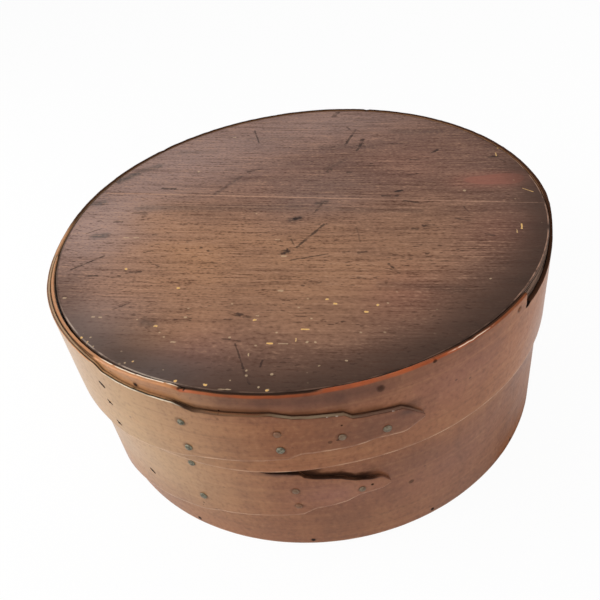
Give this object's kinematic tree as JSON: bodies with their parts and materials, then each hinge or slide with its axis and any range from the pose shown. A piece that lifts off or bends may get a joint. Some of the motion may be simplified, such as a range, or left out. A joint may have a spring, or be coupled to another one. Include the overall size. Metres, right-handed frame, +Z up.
{
  "type": "bentwood pantry box",
  "caption": "Round bentwood pantry box with a lift-off lid: thin bent bands lapped over themselves with tacked finger ends, around a lid board and a bottom board.",
  "frame": {"origin": "centre of the underside, where the closed box stands on a surface", "axes": "+Z up through the lid, -Y towards the lapped front of the bands, +X to the right of that front"},
  "size_m": [0.2311, 0.2327, 0.098],
  "materials": {
    "lid_board_wood": "old dark varnish, worn and scratched, with pale flecks",
    "lid_band_wood": "old varnished bentwood, semi-gloss, worn bright along its edges",
    "box_band_wood": "old varnished bentwood, semi-gloss, darker under the lid",
    "bottom_board_wood": "bare aged softwood",
    "copper_tack": "old copper with a grey-green patina",
    "iron_nail": "dark rusted iron"
  },
  "bodies": {
    "box": {"bottom_board": "bottom_board_wood", "box_band": "box_band_wood", "box_lap_tacks": "copper_tack", "box_seam_nails": "iron_nail", "bottom_brads": "iron_nail"},
    "lid": {"lid_board": "lid_board_wood", "lid_band": "lid_band_wood", "lid_lap_tacks": "copper_tack", "lid_seam_nails": "iron_nail", "lid_brads": "iron_nail"}
  },
  "joints": [
    {"name": "lid_lift", "type": "slide", "parent": "box", "child": "lid", "axis": [0, 0, 1], "range_m": [0, 0.1]}
  ]
}
